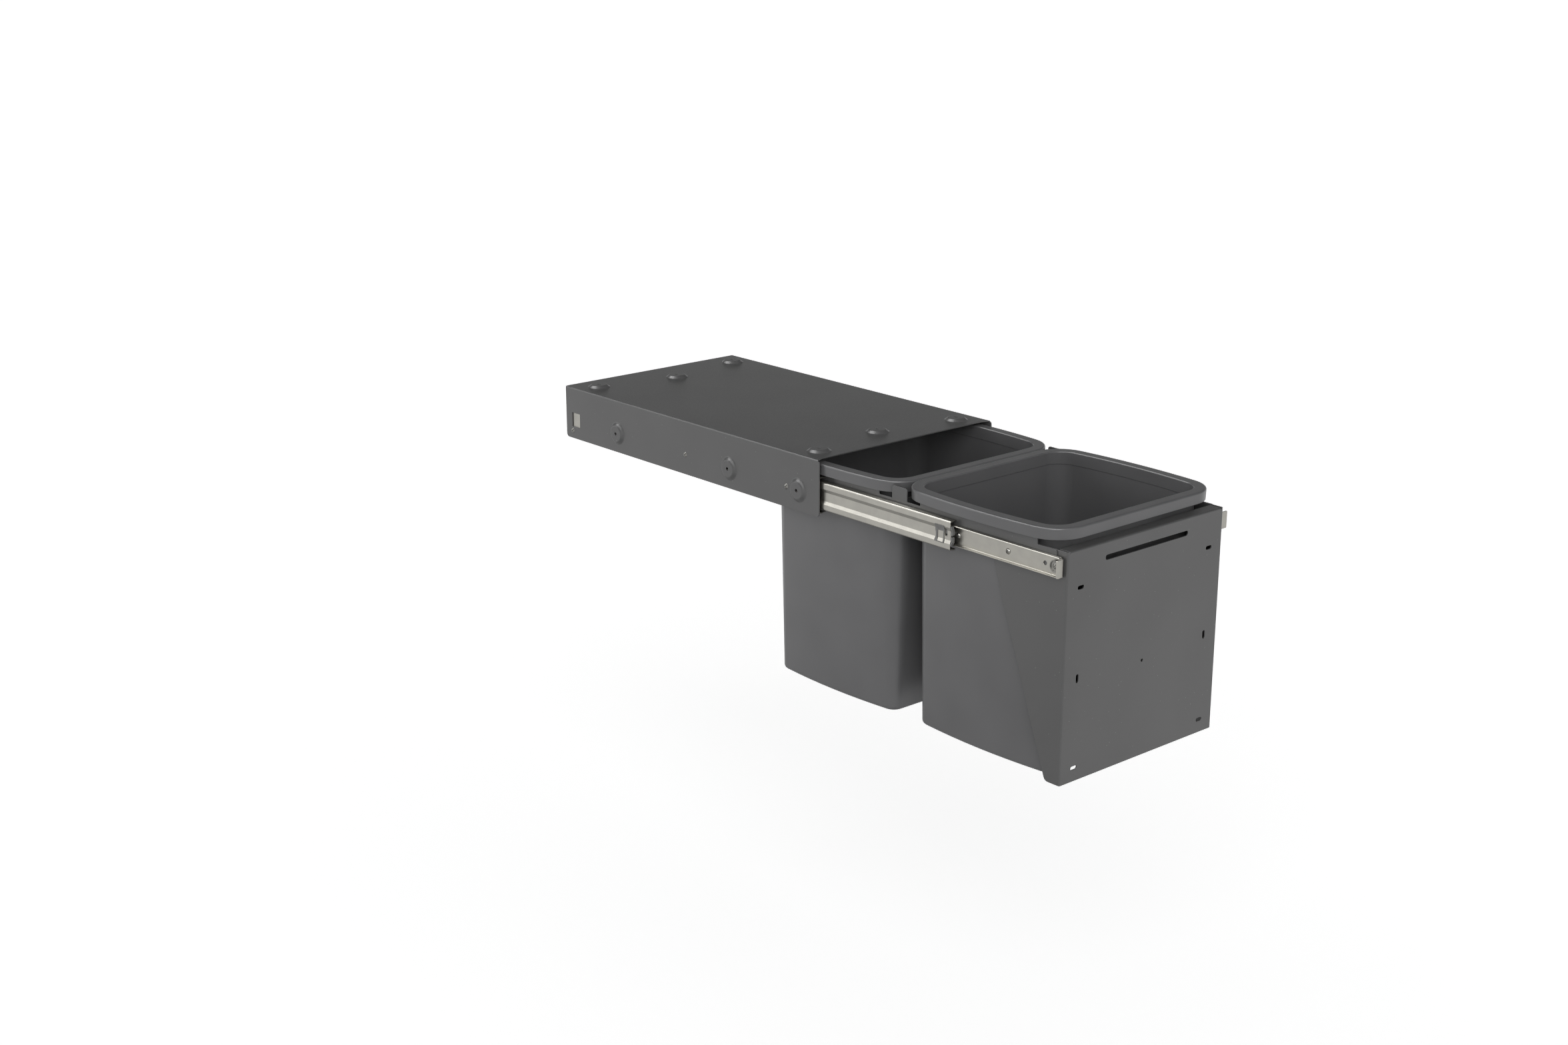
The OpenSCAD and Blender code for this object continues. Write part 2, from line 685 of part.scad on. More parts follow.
// Cage of one slide between the middle and inner rails
module inner_cage(side) {
    half_v = inner_row_v + cage_t / 2;
    color(zinc) in_frame() on_side(side) in_slide() difference() {
        along_y(inner_cage_y, inner_cage_y + inner_cage_l) {
            for (s = [-1, 1]) translate([inner_cage_u, s * inner_row_v - cage_t / 2])
                square([inner_web_u - 0.3 - inner_cage_u, cage_t]);
            translate([inner_cage_u, -half_v]) square([cage_web_t, 2 * half_v]);
        }
        each_ball(inner_row, inner_row_v, inner_cage_y, inner_cage_l)
            cylinder(d = ball_d + 2 * pocket_clear, h = 3 * cage_t, center = true);
        // Windows in the web, one between every two balls
        for (y = window_ys(inner_cage_y, inner_cage_l)) translate([inner_cage_u - cut, y - 6, -7])
            cube([cage_web_t + 2 * cut, 12, 14]);
    }
}

// Places of the balls in a cage of length l that starts at y: as many as the pitch allows
function ball_ys(y, l) =
    let (n = floor((l - ball_pitch / 2) / ball_pitch))
    [for (i = [0 : n - 1]) y + l / 2 + (i - (n - 1) / 2) * ball_pitch];

function window_ys(y, l) =
    let (b = ball_ys(y, l))
    [for (i = [0 : len(b) - 2]) (b[i] + b[i + 1]) / 2];

module each_ball(u, v, y, l) {
    for (s = [-1, 1], by = ball_ys(y, l)) translate([u, by, s * v]) children();
}

module outer_balls(side) {
    color(steel) in_frame() on_side(side) in_slide()
        each_ball(outer_row, outer_row_v, outer_cage_y, outer_cage_l) sphere(d = ball_d, $fn = 20);
}

module inner_balls(side) {
    color(steel) in_frame() on_side(side) in_slide()
        each_ball(inner_row, inner_row_v, inner_cage_y, inner_cage_l) sphere(d = ball_d, $fn = 20);
}

module inner_rail(side) {
    color(zinc) in_frame() on_side(side) in_slide() difference() {
        union() {
            along_y(inner_front_y + 2 * rail_t, inner_rear_y) inner_rail_section();
            // Tongue of the web, turned outwards as an end plate
            along_y(inner_front_y, inner_front_y + 3 * rail_t)
                translate([inner_web_u, -end_plate_v]) square([rail_t, 2 * end_plate_v]);
            along_y(inner_front_y, inner_front_y + rail_t)
                polygon(rounded([[slide_w, -end_plate_v, 0], [slide_w, end_plate_v, 0],
                    [end_plate_u, end_plate_v, 1.5], [end_plate_u, -end_plate_v, 1.5]]));
        }
        // Bend between the web and the end plate
        translate([slide_w, inner_front_y, 0]) difference() {
            translate([-rail_bend_r, -cut, -slide_h / 2])
                cube([rail_bend_r + cut, rail_bend_r + cut, slide_h]);
            translate([-rail_bend_r, rail_bend_r, 0])
                cylinder(r = rail_bend_r, h = slide_h, center = true);
        }
        for (y = rail_screw_ys) translate([0, y, 0])
            pin_x(screw_d + 2 * shank_clear, inner_web_u - cut, slide_w + cut);
        translate([0, rail_hole_y, 0]) pin_x(rail_hole_d, inner_web_u - cut, slide_w + cut);
        translate([0, cam_y, 0]) pin_x(cam_shaft_d + 2 * cam_clear, inner_web_u - cut, slide_w + cut);
    }
}

// Pan-head screws through the inner rail and the side plate
module inner_rail_screws(side) {
    head_r = screw_head_d / 2;
    dome_r = (head_r * head_r + screw_head_h * screw_head_h) / (2 * screw_head_h);
    color(zinc) in_frame() on_side(side) in_slide() for (i = [0 : len(rail_screw_ys) - 1]) {
        // The foremost screw also goes through the wing, and ends flush with it
        through = i == 0 ? 2 * sheet_t : sheet_t + 0.8;
        translate([0, rail_screw_ys[i], 0]) difference() {
            union() {
                intersection() {
                    translate([inner_web_u - screw_head_h + dome_r, 0, 0]) sphere(r = dome_r);
                    pin_x(screw_head_d, inner_web_u - screw_head_h - cut, inner_web_u);
                }
                pin_x(screw_d, inner_web_u, slide_w + through);
            }
            // Cross recess
            for (a = [0, 90]) rotate([a, 0, 0])
                translate([inner_web_u - screw_head_h - cut, -0.3 * screw_head_d, -0.5])
                    cube([cut + 0.6 * screw_head_h, 0.6 * screw_head_d, 1]);
        }
    }
}

// Round adjuster, turned with a screwdriver: a dished disc with a domed, cross-slotted middle
module cam_adjuster(side) {
    face_u = inner_web_u - cam_t - 0.3;
    color(steel) in_frame() on_side(side) in_slide() translate([0, cam_y, 0]) difference() {
        union() {
            difference() {
                pin_x(cam_d, face_u, face_u + cam_t);
                pin_x(cam_d - 2 * cam_rim, face_u - cut, face_u + cam_dish);
            }
            intersection() {
                translate([face_u + cam_dome_r, 0, 0]) sphere(r = cam_dome_r);
                pin_x(cam_d / 2, face_u - cut, face_u + cam_t);
            }
            pin_x(cam_shaft_d, face_u + cam_t, slide_w - cam_clear);
        }
        for (a = [45, 135]) rotate([a, 0, 0])
            translate([face_u - cut, -2.4, -0.6]) cube([cut + cam_dish, 4.8, 1.2]);
    }
}

// Side view of a side plate: base strip, three tabs, stepped front end
module side_plate_outline() {
    bottom = plate_bottom_z;
    half_tab = rim_d / 2 - tab_inset;
    tabs = [[rear_bucket_y, half_tab], [divider_y, divider_w / 2], [front_bucket_y, half_tab]];
    polygon(rounded(concat(
        [[plate_rear_y, bottom, tab_r], [plate_rear_y, notch_z, tab_r]],
        [for (t = tabs) each [[t[0] + t[1], notch_z, notch_r],
            [t[0] + t[1], seat_z, tab_r], [t[0] - t[1], seat_z, tab_r],
            [t[0] - t[1], t[0] == front_bucket_y ? panel_top_z : notch_z, notch_r]]],
        [[plate_front_y, panel_top_z, tab_r], [plate_front_y, bottom, tab_r]])));
}

module side_plate(side) {
    color(paint) in_frame() on_side(side) difference() {
        across(-plate_x, -plate_x + sheet_t) side_plate_outline();
        for (y = rail_screw_ys) translate([0, y, slide_z])
            pin_x(screw_d + 2 * shank_clear, -plate_x - cut, -plate_x + sheet_t + cut);
    }
}

// Cross plate under the rear bucket's rim, with a bent flange at each end
module rear_cross_plate() {
    front_y = plate_rear_y - cross_inset - sheet_t;
    top_z = notch_z;
    x = wing_x;
    tab = cross_tab_w / 2;
    color(paint) in_frame() {
        along_y(front_y, front_y + sheet_t)
            polygon(rounded([[-x, top_z - cross_h, 0], [x, top_z - cross_h, 0], [x, top_z, 0],
                [tab, top_z, tab_r], [tab, seat_z, tab_r], [-tab, seat_z, tab_r],
                [-tab, top_z, tab_r], [-x, top_z, 0]]));
        for (s = [-1, 1]) on_side(s)
            translate([-x, front_y - end_flange + sheet_t, top_z - cross_h])
                cube([sheet_t, end_flange, cross_h]);
    }
}

// Cross bar under the gap between the buckets
module middle_cross_bar() {
    x = wing_x;
    color(paint) in_frame() {
        translate([-x, divider_y - sheet_t / 2, notch_z - bar_h]) cube([2 * x, sheet_t, bar_h]);
        for (s = [-1, 1]) on_side(s) translate([-x, divider_y - end_flange / 2, notch_z - bar_h])
            cube([sheet_t, end_flange, bar_h]);
    }
}

// Plan section of the front panel: face with a wing bent back at each side
module panel_plan() {
    polygon(rounded([[-wing_x, panel_y, bend_r], [wing_x, panel_y, bend_r],
        [wing_x, panel_y + wing_top, 0], [wing_x - sheet_t, panel_y + wing_top, 0],
        [wing_x - sheet_t, panel_y + sheet_t, bend_r - sheet_t],
        [sheet_t - wing_x, panel_y + sheet_t, bend_r - sheet_t],
        [sheet_t - wing_x, panel_y + wing_top, 0], [-wing_x, panel_y + wing_top, 0]]));
}

// Side view of the front panel with its slanted wings
module wing_outline() {
    polygon(rounded([[panel_y, panel_top_z, 0], [panel_y, panel_bottom_z, 0],
        [panel_y + wing_bottom, panel_bottom_z, wing_corner_r],
        [panel_y + wing_top, panel_top_z - wing_straight, tab_r],
        [panel_y + wing_top, panel_top_z, 0]]));
}

module front_panel() {
    flange_x = wing_x - sheet_t - 2.5;
    slit = 1;
    mid_z = (panel_top_z - slot_top_inset + panel_bottom_z + slot_bottom_inset) / 2;
    slot_x = wing_x - slot_side_inset;
    color(paint) in_frame() difference() {
        union() {
            difference() {
                intersection() {
                    translate([0, 0, panel_bottom_z]) linear_extrude(panel_h) panel_plan();
                    across(-wing_x, wing_x) wing_outline();
                }
                // Room for the top bend, with a slit at each end of it
                translate([-flange_x - slit, panel_y - cut, panel_top_z - bend_r])
                    cube([2 * (flange_x + slit), bend_r + 2 * cut, bend_r + cut]);
            }
            across(-flange_x, flange_x) polygon(rounded([
                [panel_y, panel_top_z - 2 * bend_r, 0], [panel_y, panel_top_z, bend_r],
                [panel_y + top_flange, panel_top_z, 0], [panel_y + top_flange, panel_top_z - sheet_t, 0],
                [panel_y + sheet_t, panel_top_z - sheet_t, bend_r - sheet_t],
                [panel_y + sheet_t, panel_top_z - 2 * bend_r, 0]]));
        }
        along_y(panel_y - cut, panel_y + sheet_t + cut) {
            translate([0, panel_top_z - long_slot_drop]) slot(long_slot_l, long_slot_h);
            for (s = [-1, 1]) translate([s * slot_x, 0]) {
                translate([0, panel_top_z - slot_top_inset]) slot(door_slot_l, door_slot_w);
                translate([0, panel_bottom_z + slot_bottom_inset]) slot(door_slot_l, door_slot_w);
                translate([0, mid_z]) rotate(90) slot(door_slot_l, door_slot_w);
            }
            translate([0, mid_z - centre_hole_drop]) circle(d = centre_hole_d);
        }
        // Hole for the foremost rail screw in each wing
        translate([0, rail_screw_ys[0], slide_z])
            pin_x(screw_d + 2 * shank_clear, -wing_x - cut, wing_x + cut);
    }
}

// One level of a bucket seen from above: a = half width at mid depth, b = half depth,
// r = corner radius, bow = how far the long sides bow, off = parallel offset, z = height
side_steps = 4;
corner_steps = 8;
function level(a, b, r, bow, off, z) =
    let (
        x = a - r - bow,
        y = b - r,
        first = atan(2 * bow / y),
        quarter = concat(
            [for (i = [0 : side_steps - 1])
                let (t = i / side_steps, s = 2 * bow * t / y, l = sqrt(1 + s * s))
                [a - r - bow * t * t + (r + off) / l, t * y + s * (r + off) / l]],
            [for (i = [0 : corner_steps])
                let (angle = first + (90 - first) * i / corner_steps)
                [x + (r + off) * cos(angle), y + (r + off) * sin(angle)]]),
        n = len(quarter)
    )
    concat(
        [for (i = [0 : n - 1]) [quarter[i][0], quarter[i][1], z]],
        [for (i = [n - 1 : -1 : 0]) [-quarter[i][0], quarter[i][1], z]],
        [for (i = [1 : n - 1]) [-quarter[i][0], -quarter[i][1], z]],
        [for (i = [n - 1 : -1 : 1]) [quarter[i][0], -quarter[i][1], z]]);

// Sizes of the bucket's outer wall at a depth below the rim's top
body_a = plate_x - sheet_t - bucket_clear;
body_b = rim_d / 2 - end_inset;
rim_a = plate_x + rim_over - sheet_t;
function taper_at(depth) = depth < straight_h ? 0 : (depth - straight_h) / (bucket_h - straight_h);
function body_level(depth, off) =
    let (f = taper_at(depth))
    level(body_a - bucket_taper * f, body_b - bucket_taper * f,
        body_top_r + (body_bottom_r - body_top_r) * f, body_bow, off, -depth);
function rim_level(depth, off) = level(rim_a, rim_d / 2, rim_corner_r, rim_bow, off, -depth);

// A bucket as one closed skin: up the outside, round the rim, down the inside
module bucket() {
    fillet = [0, 30, 60, 90];
    inner_r = floor_r - bucket_wall;
    lip_h = shoulder_step / 2;
    low_wall = bucket_wall - shoulder_step;
    skin = concat(
        [for (a = fillet) body_level(bucket_h - floor_r * (1 - cos(a)), -floor_r * (1 - sin(a)))],
        [body_level(straight_h, 0), body_level(rim_t, 0)],
        [rim_level(rim_t, -skirt_t), rim_level(rim_h, -skirt_t), rim_level(rim_h, -skirt_draft)],
        [for (a = fillet) rim_level(rim_edge_r * (1 - sin(a)), -rim_edge_r * (1 - cos(a)))],
        [body_level(0, mouth_r - bucket_wall), body_level(mouth_r, -bucket_wall),
            body_level(shoulder_h, -bucket_wall), body_level(shoulder_h + lip_h, -low_wall),
            body_level(straight_h, -low_wall)],
        [for (a = fillet) body_level(bucket_h - bucket_wall - inner_r * (1 - sin(a)),
            -low_wall - inner_r * (1 - cos(a)))]);
    n = len(skin[0]);
    rings = len(skin);
    points = [for (ring = skin) each ring];
    polyhedron(points, concat(
        [[for (i = [0 : n - 1]) i]],
        [for (k = [0 : rings - 2], i = [0 : n - 1]) let (j = (i + 1) % n) each
            [[k * n + i, (k + 1) * n + i, k * n + j], [k * n + j, (k + 1) * n + i, (k + 1) * n + j]]],
        [[for (i = [n - 1 : -1 : 0]) (rings - 1) * n + i]]));
}

module bucket_at(y) {
    color(bucket_grey) in_frame() translate([0, y, rim_top_z]) bucket();
}

housing_cover();
outer_rail(-1);  // outer_rail_left
outer_rail(1);  // outer_rail_right
outer_rail_rivets(-1);  // outer_rail_rivets_left
outer_rail_rivets(1);  // outer_rail_rivets_right
rear_bumper(-1);  // rear_bumper_left
rear_bumper(1);  // rear_bumper_right
middle_rail(-1);  // middle_rail_left
middle_rail(1);  // middle_rail_right
catch_clip(-1);  // catch_clip_left
catch_clip(1);  // catch_clip_right
front_bumper(-1);  // front_bumper_left
front_bumper(1);  // front_bumper_right
outer_cage(-1);  // outer_cage_left
outer_cage(1);  // outer_cage_right
outer_balls(-1);  // outer_balls_left
outer_balls(1);  // outer_balls_right
inner_cage(-1);  // inner_cage_left
inner_cage(1);  // inner_cage_right
inner_balls(-1);  // inner_balls_left
inner_balls(1);  // inner_balls_right
inner_rail(-1);  // inner_rail_left
inner_rail(1);  // inner_rail_right
inner_rail_screws(-1);  // inner_rail_screws_left
inner_rail_screws(1);  // inner_rail_screws_right
cam_adjuster(-1);  // cam_adjuster_left
cam_adjuster(1);  // cam_adjuster_right
side_plate(-1);  // side_plate_left
side_plate(1);  // side_plate_right
rear_cross_plate();
middle_cross_bar();
front_panel();
bucket_at(front_bucket_y);  // bucket_front
bucket_at(rear_bucket_y);  // bucket_rear
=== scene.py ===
"""Pull-out bin unit: finishes, rounded edges, floor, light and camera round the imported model.

Metres, in the model's own frame: +Z up, the door panel faces -Y, and the origin is the centre of
the four corner screw holes.
"""
import json
import math

import bmesh
import bpy
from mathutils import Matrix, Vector


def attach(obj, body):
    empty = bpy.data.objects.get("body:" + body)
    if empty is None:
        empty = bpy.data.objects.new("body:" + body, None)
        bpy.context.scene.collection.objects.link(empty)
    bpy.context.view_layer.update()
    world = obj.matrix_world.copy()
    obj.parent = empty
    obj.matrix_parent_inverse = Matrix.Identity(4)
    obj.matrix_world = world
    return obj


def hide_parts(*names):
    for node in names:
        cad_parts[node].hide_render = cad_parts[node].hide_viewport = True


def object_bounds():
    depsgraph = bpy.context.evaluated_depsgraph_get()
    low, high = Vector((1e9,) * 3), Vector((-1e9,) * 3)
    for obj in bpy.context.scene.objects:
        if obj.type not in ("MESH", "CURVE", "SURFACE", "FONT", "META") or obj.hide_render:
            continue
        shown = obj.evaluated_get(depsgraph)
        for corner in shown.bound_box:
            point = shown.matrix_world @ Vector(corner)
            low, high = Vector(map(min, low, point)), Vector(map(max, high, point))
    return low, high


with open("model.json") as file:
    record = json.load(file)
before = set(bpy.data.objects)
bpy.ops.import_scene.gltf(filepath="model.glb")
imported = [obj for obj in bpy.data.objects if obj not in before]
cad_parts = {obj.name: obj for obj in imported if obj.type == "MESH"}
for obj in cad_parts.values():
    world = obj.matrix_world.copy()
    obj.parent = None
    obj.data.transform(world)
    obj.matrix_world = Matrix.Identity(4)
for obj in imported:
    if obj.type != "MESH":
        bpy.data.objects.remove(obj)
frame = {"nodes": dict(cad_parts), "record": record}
cad_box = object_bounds()

MM = 0.001
SIDES = ("left", "right")


def linear(hexa):
    """An sRGB hex colour as linear RGBA."""
    parts = [int(hexa[i:i + 2], 16) / 255 for i in (1, 3, 5)]
    return [c / 12.92 if c <= 0.04045 else ((c + 0.055) / 1.055) ** 2.4 for c in parts] + [1.0]


def add(tree, kind, values=None, links=None, **settings):
    """Adds a node. values fills sockets, links joins sockets to outputs, settings are its own."""
    node = tree.nodes.new(kind)
    for name, value in settings.items():
        setattr(node, name, value)
    for name, value in (values or {}).items():
        node.inputs[name].default_value = value
    for name, output in (links or {}).items():
        tree.links.new(output, node.inputs[name])
    return node


def new_material(name):
    """An empty node material, its node tree and its Object coordinates."""
    material = bpy.data.materials.new(name)
    material.use_nodes = True
    tree = material.node_tree
    tree.nodes.clear()
    return material, tree, add(tree, "ShaderNodeTexCoord").outputs["Object"]


def finish_material(tree, values, links):
    """The Principled shader that a material ends in, with its constants and its patterns."""
    shader = add(tree, "ShaderNodeBsdfPrincipled", values, links)
    add(tree, "ShaderNodeOutputMaterial", links={"Surface": shader.outputs["BSDF"]})


# Noise keeps mostly to this middle range, which is stretched over what it steers
NOISE_RANGE = {"From Min": 0.3, "From Max": 0.7}


def powder_coat():
    """Polyester powder coat, baked on steel: satin dark grey with a faint orange peel."""
    material, tree, coords = new_material("polyester_powder_coat")
    at = {"Vector": coords}
    # Orange peel is 1 to 2 mm long on a thin coat
    peel = add(tree, "ShaderNodeTexNoise", {"Scale": 1 / (1.6 * MM), "Detail": 2.0}, at).outputs["Fac"]
    # Film thickness drifts over a hand's width
    drift = add(tree, "ShaderNodeTexNoise", {"Scale": 1 / (90 * MM), "Detail": 1.0}, at).outputs["Fac"]
    drift = add(tree, "ShaderNodeMapRange", NOISE_RANGE, {"Value": drift}).outputs["Result"]
    ground = add(tree, "ShaderNodeMix", {"A": linear("#555555"), "B": linear("#595959")},
                 {"Factor": drift}, data_type="RGBA").outputs["Result"]
    # Painted glints: single coarse grains are drawn in a lighter colour, as if they catch the light, 9 mm
    # apart and drawn larger than the real 0.1 mm to show
    grains = add(tree, "ShaderNodeTexVoronoi", {"Scale": 1 / (9 * MM)}, at).outputs["Distance"]
    painted_glint = add(tree, "ShaderNodeMapRange",
                {"From Min": 0.03, "From Max": 0.06, "To Min": 1.0, "To Max": 0.0},
                {"Value": grains}).outputs["Result"]
    # The painted glints are mixed into the coat's colour as lighter specks
    speckled_with_painted_glints = add(tree, "ShaderNodeMix", {"B": linear("#8c8c8c")}, {"A": ground, "Factor": painted_glint},
                   data_type="RGBA").outputs["Result"]
    satin = add(tree, "ShaderNodeMapRange", {**NOISE_RANGE, "To Min": 0.29, "To Max": 0.36},
                {"Value": peel}).outputs["Result"]
    relief = add(tree, "ShaderNodeBump", {"Distance": 0.012 * MM, "Strength": 1.0},
                 {"Height": peel}).outputs["Normal"]
    finish_material(tree, {"IOR": 1.5, "Specular IOR Level": 0.5},
                    {"Base Color": speckled_with_painted_glints, "Roughness": satin, "Normal": relief})
    return material


def polypropylene():
    """Injection-moulded polypropylene from a spark-eroded mould: dull, sandy, slightly waxy."""
    material, tree, coords = new_material("moulded_polypropylene")
    at = {"Vector": coords}
    # Spark erosion leaves pits under 0.1 mm: drawn at 0.9 mm so that they show
    pits = add(tree, "ShaderNodeTexNoise", {"Scale": 1 / (0.9 * MM), "Detail": 3.0}, at).outputs["Fac"]
    # The melt's flow leaves clouds about as wide as three fingers
    flow = add(tree, "ShaderNodeTexNoise", {"Scale": 1 / (70 * MM), "Detail": 1.0}, at).outputs["Fac"]
    flow = add(tree, "ShaderNodeMapRange", NOISE_RANGE, {"Value": flow}).outputs["Result"]
    clouded = add(tree, "ShaderNodeMix", {"A": linear("#5f5f60"), "B": linear("#646465")},
                  {"Factor": flow}, data_type="RGBA").outputs["Result"]
    waxy = add(tree, "ShaderNodeMapRange", {**NOISE_RANGE, "To Min": 0.29, "To Max": 0.37},
               {"Value": pits}).outputs["Result"]
    relief = add(tree, "ShaderNodeBump", {"Distance": 0.04 * MM, "Strength": 1.0},
                 {"Height": pits}).outputs["Normal"]
    finish_material(tree, {"IOR": 1.49, "Specular IOR Level": 0.5},
                    {"Base Color": clouded, "Roughness": waxy, "Normal": relief})
    return material


def zinc_plate(name, dark, light, grain, roughness):
    """Zinc plate on rolled steel: warm pale metal with fine lines along the rolling direction."""
    material, tree, coords = new_material(name)
    # Rolling draws the grain out to ten times its width, along the rail
    lines = add(tree, "ShaderNodeMapping", {"Scale": (1.0, 0.1, 1.0)}, {"Vector": coords})
    rolled = add(tree, "ShaderNodeTexNoise", {"Scale": 1 / grain, "Detail": 2.0},
                 {"Vector": lines.outputs["Vector"]}).outputs["Fac"]
    # Zinc crystals cloud the plate over a finger's width
    cloud = add(tree, "ShaderNodeTexNoise", {"Scale": 1 / (14 * MM), "Detail": 4.0},
                {"Vector": coords}).outputs["Fac"]
    cloud = add(tree, "ShaderNodeMapRange", NOISE_RANGE, {"Value": cloud}).outputs["Result"]
    clouded = add(tree, "ShaderNodeMix", {"A": linear(dark), "B": linear(light)},
                  {"Factor": cloud}, data_type="RGBA").outputs["Result"]
    brushed = add(tree, "ShaderNodeMapRange",
                  {**NOISE_RANGE, "To Min": roughness - 0.05, "To Max": roughness + 0.06},
                  {"Value": rolled}).outputs["Result"]
    relief = add(tree, "ShaderNodeBump", {"Distance": 0.002 * MM, "Strength": 1.0},
                 {"Height": rolled}).outputs["Normal"]
    finish_material(tree, {"Metallic": 1.0},
                    {"Base Color": clouded, "Roughness": brushed, "Normal": relief})
    return material


def polished_steel():
    """Ground and polished bearing steel: near-mirror with faint scratches."""
    material, tree, coords = new_material("polished_bearing_steel")
    scratches = add(tree, "ShaderNodeTexNoise", {"Scale": 1 / (0.6 * MM), "Detail": 3.0},
                    {"Vector": coords}).outputs["Fac"]
    scuffed = add(tree, "ShaderNodeMapRange", {**NOISE_RANGE, "To Min": 0.08, "To Max": 0.16},
                  {"Value": scratches}).outputs["Result"]
    finish_material(tree, {"Base Color": linear("#c9c9c6"), "Metallic": 1.0}, {"Roughness": scuffed})
    return material


def acetal(name, dark, light):
    """Moulded acetal: smooth, with a soft sheen and faint flow marks."""
    material, tree, coords = new_material(name)
    at = {"Vector": coords}
    flow = add(tree, "ShaderNodeTexNoise", {"Scale": 1 / (5 * MM), "Detail": 3.0}, at).outputs["Fac"]
    flow = add(tree, "ShaderNodeMapRange", NOISE_RANGE, {"Value": flow}).outputs["Result"]
    streaked = add(tree, "ShaderNodeMix", {"A": linear(dark), "B": linear(light)},
                   {"Factor": flow}, data_type="RGBA").outputs["Result"]
    fine = add(tree, "ShaderNodeTexNoise", {"Scale": 1 / (0.5 * MM), "Detail": 2.0}, at).outputs["Fac"]
    sheen = add(tree, "ShaderNodeMapRange", {**NOISE_RANGE, "To Min": 0.3, "To Max": 0.42},
                {"Value": fine}).outputs["Result"]
    relief = add(tree, "ShaderNodeBump", {"Distance": 0.008 * MM, "Strength": 1.0},
                 {"Height": fine}).outputs["Normal"]
    finish_material(tree, {"IOR": 1.48}, {"Base Color": streaked, "Roughness": sheen, "Normal": relief})
    return material


finishes = {
    "paint": powder_coat(),
    "bucket_plastic": polypropylene(),
    "zinc_steel": zinc_plate("zinc_plated_steel", "#9e9c96", "#a6a49d", grain=0.35 * MM, roughness=0.34),
    "rivet_steel": zinc_plate("zinc_plated_rivet_steel", "#777673", "#888783", grain=0.3 * MM,
                              roughness=0.3),
    "ball_steel": polished_steel(),
    "clip_plastic": acetal("grey_acetal", "#6a6a69", "#747472"),
    "bumper_plastic": acetal("black_acetal", "#2b2b2c", "#323233"),
}

# Which finish each piece has: those that come once, then those that come left and right
SINGLE_PIECES = {
    "paint": ("housing_cover", "front_panel", "rear_cross_plate", "middle_cross_bar"),
    "bucket_plastic": ("bucket_front", "bucket_rear"),
}
PAIRED_PIECES = {
    "paint": ("side_plate",),
    "zinc_steel": ("outer_rail", "middle_rail", "inner_rail", "outer_cage", "inner_cage"),
    "ball_steel": ("outer_balls", "inner_balls"),
    "rivet_steel": ("outer_rail_rivets", "inner_rail_screws", "cam_adjuster"),
    "clip_plastic": ("catch_clip", "front_bumper"),
    "bumper_plastic": ("rear_bumper",),
}
finish_of = {name: finish for finish, names in SINGLE_PIECES.items() for name in names}
for side in SIDES:
    for finish, names in PAIRED_PIECES.items():
        finish_of.update({f"{name}_{side}": finish for name in names})
for name, finish in finish_of.items():
    for entry in frame["nodes"][name].material_slots:
        entry.material = finishes[finish]

# Sheared, drawn and moulded edges: a small radius that catches the light
EDGE_RADIUS = {"paint": 0.2 * MM, "bucket_plastic": 0.3 * MM, "zinc_steel": 0.1 * MM,
               "rivet_steel": 0.1 * MM, "clip_plastic": 0.12 * MM}
EDGE_SEGMENTS = 2
SHARP_EDGE = math.radians(32)
MERGE_DISTANCE = 0.004 * MM
FLAT_LIMIT = math.radians(0.4)
# The cages, the rear bumpers and the two cross members show only as the CAD has them
LEFT_AS_THEY_ARE = ("outer_cage", "inner_cage", "rear_bumper", "rear_cross_plate", "middle_cross_bar")

body_of = {name: body for body, names in frame["record"]["behaviour"]["bodies"].items()
           for name in names}


def rounded_skin(name):
    """A copy of a CAD node in one skin, with smooth bends and slightly rounded sharp edges."""
    finish = finish_of[name]
    shape = bmesh.new()
    shape.from_mesh(frame["nodes"][name].data)
    bmesh.ops.remove_doubles(shape, verts=shape.verts, dist=MERGE_DISTANCE)
    bmesh.ops.dissolve_limit(shape, angle_limit=FLAT_LIMIT, verts=shape.verts, edges=shape.edges)
    for face in shape.faces:
        face.smooth = True
    for edge in shape.edges:
        edge.smooth = edge.is_manifold and edge.calc_face_angle() < SHARP_EDGE
    mesh = bpy.data.meshes.new(name + "_skin")
    shape.to_mesh(mesh)
    shape.free()
    mesh.materials.append(finishes[finish])
    piece = bpy.data.objects.new(name + "_skin", mesh)
    bpy.context.scene.collection.objects.link(piece)
    if finish in EDGE_RADIUS:
        rounding = piece.modifiers.new("edge_radius", "BEVEL")
        rounding.width = EDGE_RADIUS[finish]
        rounding.segments = EDGE_SEGMENTS
        rounding.limit_method = "ANGLE"
        rounding.angle_limit = SHARP_EDGE
        rounding.use_clamp_overlap = False
    shading = piece.modifiers.new("even_shading", "WEIGHTED_NORMAL")
    shading.keep_sharp = True
    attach(piece, body_of[name])
    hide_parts(name)


for name in finish_of:
    if not name.startswith(LEFT_AS_THEY_ARE):
        rounded_skin(name)

# Floor: white to the camera where nothing shades it
FLOOR_DROP = 450 * MM
FLOOR_SIZE = 160.0
FLOOR_ALBEDO = "#e6e6e6"
FLOOR_LIFT = 0.55
# Mirrored rays see the lift only from this far off
LIFT_START = 0.8
LIFT_END = 1.5


